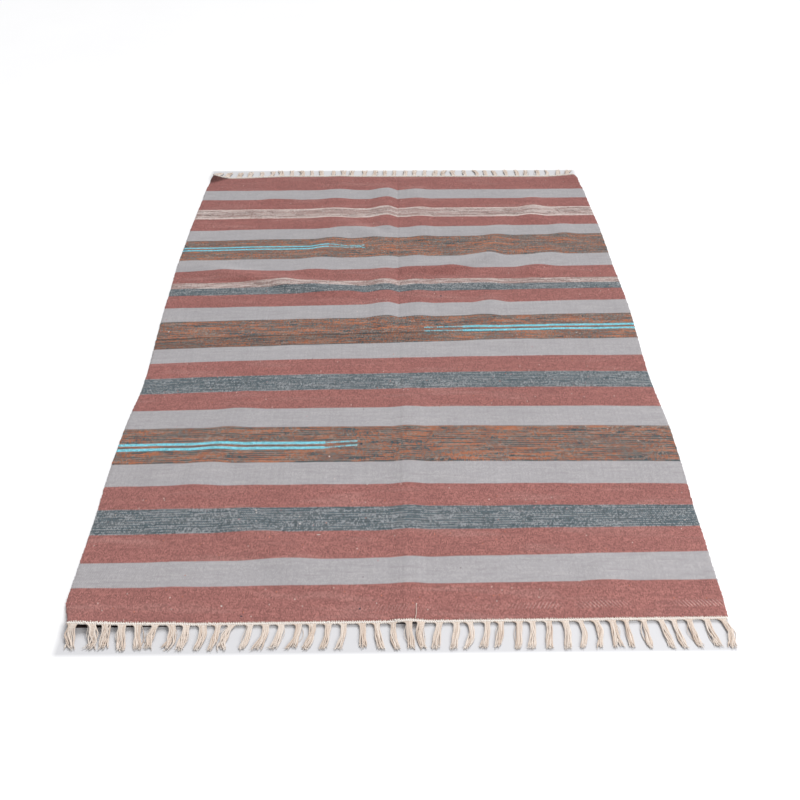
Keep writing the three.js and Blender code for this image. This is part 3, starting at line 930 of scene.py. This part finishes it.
NEAR_LEAN = table("x shift", [
    (-600, 16), (-530, 2), (-470, 9), (-420, -9), (-300, -10), (-200, -15), (-100, -10), (-35, 8),
    (30, 6), (85, -9), (170, -11), (350, 0), (440, 0), (500, 9), (600, 4),
])
FAR_LEAN = table("x shift", [(-600, 8), (-300, -5), (0, 4), (300, -4), (600, 6)])
NEAR_BULGES = {0: -6, 1: 7, 5: -5, 6: 5, 10: -10, 33: 5, 41: 6}
NEAR_FRINGE = {
    "name": "fringe_near", "edge": NEAR_EDGE, "side": -1, "tassels": 42, "first": -577, "last": 589,
    "stray": 3.5, "lean": NEAR_LEAN, "sway": 2, "salt": 1, "yarns": 11, "heap": 1.5, "length": 56,
    "longer": 6, "bulges": NEAR_BULGES,
}
FAR_FRINGE = {
    "name": "fringe_far", "edge": FAR_EDGE, "side": 1, "tassels": 35, "first": -575, "last": 578,
    "stray": 4, "lean": FAR_LEAN, "sway": 4, "salt": 2, "yarns": 12, "heap": 1.6, "length": 47,
    "longer": 3, "bulges": {},
}
PARTING = 0.5

# The end cord's two strands, the teeth of warp beside it and the knots that stand up from it.
CORD = {
    "width": 6, "middle": 3.1, "pitch": 8, "strand": 1.55, "inset": 1.5, "steps": 9, "sides": 7,
    "towards_weave": 0.4, "swing": 1.15, "heave": 1.05, "uneven": 0.14,
}
TEETH = {"stray": 0.6, "reach": 1.5, "bite": 1.4, "height": 0.84, "half": 1.15, "thick": 0.85, "tone": 0.7}
NUBS = {"count": 26, "inward": (0.5, 2.5), "height": (4.6, 5.4), "radius": (1.2, 2.1), "tone": 0.95}

# The yarns of a tassel, the plies that fray at their ends, and the single plies that have slipped out.
YARN_RADIUS = 1.35
YARN_STEPS = 18
ARCH_STEPS = 5
ARCH_REACH = 7
TOUCHDOWN = 0.68
FRAY_STEPS = 4
FRAY = {"start": 2, "aside": (1.5, 0.6, 0.3), "reach": (3, 5.5), "lowest": 0.8}
WISPS = {"every": 9, "radius": 0.55, "bow": 11, "curl": 1.2, "lowest": 0.6}

# How a tassel lies. Width, wander, split and bow are in millimetres, the twist is in radians, and the rest
# are shares. Towards the right a tassel is longer and narrower, by so much at half the rug's end.
TASSEL = {
    "width": 4.2, "narrower": 0.4, "uneven": 0.2, "bushy": 0.28, "loosens": 0.25, "twist": 2.4,
    "sinks": 0.55, "wander": 0.9, "tangle": 0.16, "split": 3.2, "bow": 5.0, "inner": 0.35,
}
ROOTS = {"inner": 0.3, "outer": 1.15, "start": 0.12, "left": 1.1, "right": 0.55}
HALF_END = 600
BUSHY_STRETCH = {"from": -200, "to": -550}


def cord_middle(fringe, x):
    return edge_y(fringe["edge"], x) + fringe["side"] * (PARTING + CORD["width"] / 2)


def add_knots(shapes, x, y, z, radii, tone):
    """Cotton beads, all of one tone."""
    count = len(x)
    add_balls(shapes, np.stack([x, y, z], axis=1), radii, np.zeros((count, 2)), np.full(count, tone))


def add_end_cord(shapes, fringe):
    """Two thick strands twined round each other, and the little teeth of warp that bite into the weave."""
    edge = fringe["edge"]["y"]
    left = read(SELVEDGES, "y", "left", edge) + CORD["inset"]
    right = read(SELVEDGES, "y", "right", edge) - CORD["inset"]
    x = np.linspace(left, right, int((right - left) / CORD["pitch"] * CORD["steps"]))
    middle = cord_middle(fringe, x) - fringe["side"] * CORD["towards_weave"]
    for phase in (0.0, np.pi):
        turn = 2 * np.pi * x / CORD["pitch"] + phase + 0.5 * np.sin(x / 37)
        y = middle + CORD["swing"] * np.cos(turn)
        z = lift(x, edge) + CORD["middle"] + CORD["heave"] * np.sin(turn)
        radius = CORD["strand"] + CORD["uneven"] * np.sin(x / 5.3 + phase)
        path = np.stack([x, y, z], axis=1)
        add_tubes(shapes, path[None], radius[None], CORD["sides"], np.array([1.0]))
    count = int((right - left) / (2 * WARP_PITCH))
    stray = random.uniform(-TEETH["stray"], TEETH["stray"], count)
    x = left + (np.arange(count) + 0.5) / count * (right - left) + stray
    reach = TEETH["reach"] + random.uniform(0, 1.0, count)
    y = edge_y(fringe["edge"], x) - fringe["side"] * (reach - TEETH["bite"])
    z = lift(x, edge) + THICKNESS * TEETH["height"]
    radii = np.stack([np.full(count, TEETH["half"]), reach, np.full(count, TEETH["thick"])], axis=1)
    add_knots(shapes, x, y, z, radii, TEETH["tone"])


def tassel_ring(count):
    """Where each yarn lies round the middle of its tassel: at what angle, and how far out."""
    angle = 2 * np.pi * (np.arange(count) + random.uniform(-0.2, 0.2, count)) / count
    out = np.where(np.arange(count) % 3 == 0, TASSEL["inner"], 1.0)
    return angle, out + random.uniform(-0.12, 0.12, count)


def tassel_roots(angle, out, step):
    """How far along the cord from its tassel's middle each yarn leaves the weave."""
    order = np.argsort(np.argsort(np.cos(angle) * out))
    spread = (order + 0.5) / len(order) - 0.5
    away = np.abs(spread)
    reach = np.maximum(away * ROOTS["inner"], away * ROOTS["outer"] - ROOTS["start"])
    return step * np.sign(spread) * reach * np.where(spread < 0, ROOTS["left"], ROOTS["right"])


def yarn_runs(length):
    """How far each point is along its yarn, and how far it has swept in from its root."""
    arch = np.linspace(0, np.pi / 2, ARCH_STEPS, endpoint=False)
    swept = np.concatenate([np.sin(arch), np.ones(YARN_STEPS - ARCH_STEPS)])[None]
    fall = np.linspace(0, 1, YARN_STEPS - ARCH_STEPS)[None]
    start = np.broadcast_to(ARCH_REACH * (1 - np.cos(arch))[None], (len(length), ARCH_STEPS))
    return np.concatenate([start, ARCH_REACH + fall * (length[:, None] - ARCH_REACH)], axis=1), swept


def tassel_paths(fringe, index):
    """The yarns of one tassel: the outer ones sweep in along the cord, all lie in a slack twist."""
    count = fringe["yarns"]
    step = (fringe["last"] - fringe["first"]) / (fringe["tassels"] - 1)
    x = fringe["first"] + step * index + fringe["stray"] * scatter(index, fringe["salt"])
    shift = read(fringe["lean"], "x", "shift", x) + fringe["sway"] * scatter(-index, fringe["salt"])
    angle, out = tassel_ring(count)
    roots = tassel_roots(angle, out, step)
    usual = fringe["length"] + fringe["longer"] * x / HALF_END
    run, swept = yarn_runs(usual - 4 + 2 * scatter(index, 5) + random.uniform(-4, 2, count))
    share = run / fringe["length"]
    loosened = 1 + TASSEL["loosens"] * ease((share - 0.35) / 0.65)
    turned = angle[:, None] + TASSEL["twist"] * scatter(index, 13) * share
    bushy = 1 + TASSEL["bushy"] * leftward(BUSHY_STRETCH, x)
    width = TASSEL["width"] - TASSEL["narrower"] * x / HALF_END
    width *= (1 + TASSEL["uneven"] * scatter(index, 19)) * bushy
    slot_x = width * out[:, None] * np.cos(turned) * loosened
    outer_half = ease((share - 0.5) / 0.5)
    slot_z = fringe["heap"] * (1 + out[:, None] * np.sin(turned)) * (1 - TASSEL["sinks"] * outer_half)
    phase = random.uniform(0, 2 * np.pi, (count, 1))
    tangle = 1 + TASSEL["tangle"] * abs(fringe["bulges"].get(index, 0))
    curl = np.sin(run / random.uniform(5, 9, (count, 1)) + phase)
    wander = TASSEL["wander"] * tangle * bushy ** 2 * ease(share * 2) * curl
    apart = np.sign(np.cos(angle) + 0.3 * scatter(index, 15))[:, None]
    split = TASSEL["split"] * max(0.0, scatter(index, 9)) * apart * outer_half
    bow = fringe["bulges"].get(index, TASSEL["bow"] * scatter(index, 11) ** 3)
    bulge = bow * np.sin(np.pi * np.clip(share, 0, 1))
    offset = roots[:, None] * (1 - swept) + slot_x * swept + wander + split
    path_x = x + offset + bulge + shift * share ** 2
    path_y = cord_middle(fringe, x + offset) + fringe["side"] * (run + 0.8)
    root_z = lift(x + roots, fringe["edge"]["y"])[:, None] + 2.0
    down = ease(run / (TOUCHDOWN * fringe["length"]))
    path_z = root_z * (1 - down) + slot_z * down + YARN_RADIUS
    return np.stack([path_x, path_y, path_z], axis=-1)


def fray(paths):
    """The two plies of each yarn, parted at its loose end."""
    tip, before = paths[:, -1], paths[:, -3]
    heading = (tip - before) / np.linalg.norm(tip - before, axis=1, keepdims=True)
    heading = np.repeat(heading, 2, axis=0)
    count = len(heading)
    start = np.repeat(tip, 2, axis=0) - heading * FRAY["start"]
    aside = random.normal(0, 1, (count, 3)) * FRAY["aside"]
    reach = random.uniform(*FRAY["reach"], (count, 1))
    steps = np.linspace(0, 1, FRAY_STEPS)[None, :, None]
    plies = start[:, None] + heading[:, None] * reach[:, None] * steps + aside[:, None] * steps
    plies[..., 2] = np.maximum(plies[..., 2], FRAY["lowest"])
    return plies


def wisps(paths):
    """Single plies that have slipped out of a tassel and lie in a loose bow beside it."""
    share = np.linspace(0, 1, paths.shape[1])[None]
    bow = random.uniform(-WISPS["bow"], WISPS["bow"], (len(paths), 1)) * np.sin(np.pi * share ** 1.3)
    curl = WISPS["curl"] * np.sin(9 * share + random.uniform(0, 6, (len(paths), 1))) * share
    loose = paths.copy()
    loose[..., 0] += bow + curl
    loose[..., 2] = np.maximum(loose[..., 2] - WISPS["lowest"], WISPS["lowest"])
    return loose


def add_loose_thread(shapes):
    """One warp end left uncut, lying back over the near edge with a knot at its end."""
    share = np.linspace(0, 1, 12)
    x = 33 + 5 * share + 1.2 * np.sin(5 * share)
    y = NEAR_EDGE["y"] - 1 + 35 * share
    path = np.stack([x, y, lift(x, y) + THICKNESS + 1.0], axis=1)
    add_tubes(shapes, path[None], np.array([[0.5]]), 6, np.array([0.3]))
    add_knots(shapes, *path[-1:].T, np.array([[1.1, 1.4, 0.9]]), 0.8)


def add_cord_nubs(shapes, fringe):
    """Knots of warp that stand up from the end cord here and there."""
    count = NUBS["count"]
    x = random.uniform(fringe["first"], fringe["last"], count)
    y = cord_middle(fringe, x) - fringe["side"] * random.uniform(*NUBS["inward"], count)
    z = lift(x, fringe["edge"]["y"]) + random.uniform(*NUBS["height"], count)
    radii = random.uniform(*NUBS["radius"], (count, 3))
    add_knots(shapes, x, y, z, radii, NUBS["tone"])


def fringe_piece(fringe, material):
    shapes = Shapes()
    add_end_cord(shapes, fringe)
    add_cord_nubs(shapes, fringe)
    if fringe["side"] < 0:
        add_loose_thread(shapes)
    paths = np.concatenate([tassel_paths(fringe, index) for index in range(fringe["tassels"])])
    tones = random.uniform(0, 0.55, len(paths))
    every = WISPS["every"]
    taper = np.ones(YARN_STEPS)
    taper[-2:] = 0.85, 0.4
    radii = YARN_RADIUS * (1 + 0.08 * scatter(np.arange(len(paths)), 3))[:, None] * taper
    add_tubes(shapes, paths, radii, 6, tones)
    # The frayed plies are 0.3 lighter in tone: painted light against the shade that falls among them.
    add_tubes(shapes, fray(paths), np.linspace(0.75, 0.45, FRAY_STEPS)[None], 5, np.repeat(tones + 0.3, 2))
    add_tubes(shapes, wisps(paths[::every]), np.array([[WISPS["radius"]]]), 5, tones[::every])
    return shapes.build(fringe["name"] + "_yarns", material, "yarn")


# Camera, floor and light.

CAMERA_PLACE = (-0.0025, -1.9700, 1.3836)
CAMERA_TURN = (50.973, 0.007, -0.482)
CAMERA_LENS = 42.23


def add_camera():
    data = bpy.data.cameras.new("camera")
    data.lens = CAMERA_LENS
    data.sensor_width = 36
    camera = bpy.data.objects.new("camera", data)
    camera.location = CAMERA_PLACE
    camera.rotation_euler = Euler([math.radians(angle) for angle in CAMERA_TURN])
    bpy.context.scene.collection.objects.link(camera)
    bpy.context.scene.camera = camera


def add_floor():
    half = 9.0
    mesh = bpy.data.meshes.new("floor")
    corners = [(-half, -half, 0), (half, -half, 0), (half, half, 0), (-half, half, 0)]
    mesh.from_pydata(corners, [], [(0, 1, 2, 3)])
    mesh.materials.append(pale_floor())
    floor = bpy.data.objects.new("floor", mesh)
    floor.location.z = -0.0002
    bpy.context.scene.collection.objects.link(floor)


def aim(lamp, elevation, azimuth):
    """Turns a lamp to shine from a compass direction: 0 is from the near side, 90 from the right."""
    lamp.rotation_euler = Euler((math.radians(90 - elevation), 0, math.radians(azimuth)))
    bpy.context.scene.collection.objects.link(lamp)


def add_light():
    world = bpy.data.worlds.new("studio")
    world.use_nodes = True
    backdrop = world.node_tree.nodes["Background"]
    backdrop.inputs["Color"].default_value = (1.0, 1.0, 1.0, 1.0)
    backdrop.inputs["Strength"].default_value = 0.45
    bpy.context.scene.world = world
    key = bpy.data.lights.new("key", "SUN")
    key.energy = 2.45
    key.angle = math.radians(30)
    aim(bpy.data.objects.new("key", key), elevation=42, azimuth=165)
    fill = bpy.data.lights.new("fill", "AREA")
    fill.energy = 58
    fill.size = 1.6
    lamp = bpy.data.objects.new("fill", fill)
    lamp.location = (2.3, -2.2, 2.2)
    aim(lamp, elevation=35, azimuth=46)
    bpy.context.scene.view_settings.view_transform = "Standard"


add_camera()
weave = striped_weave()
cotton = cotton_yarn()
rug = woven_rug(weave)
sides = selvedges(weave)
near = fringe_piece(NEAR_FRINGE, cotton)
far = fringe_piece(FAR_FRINGE, cotton)
add_floor()
add_light()

for piece in (rug, sides, near, far):
    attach(piece, "root")
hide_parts("woven_panel")
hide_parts("fringe_near")
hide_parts("fringe_far")
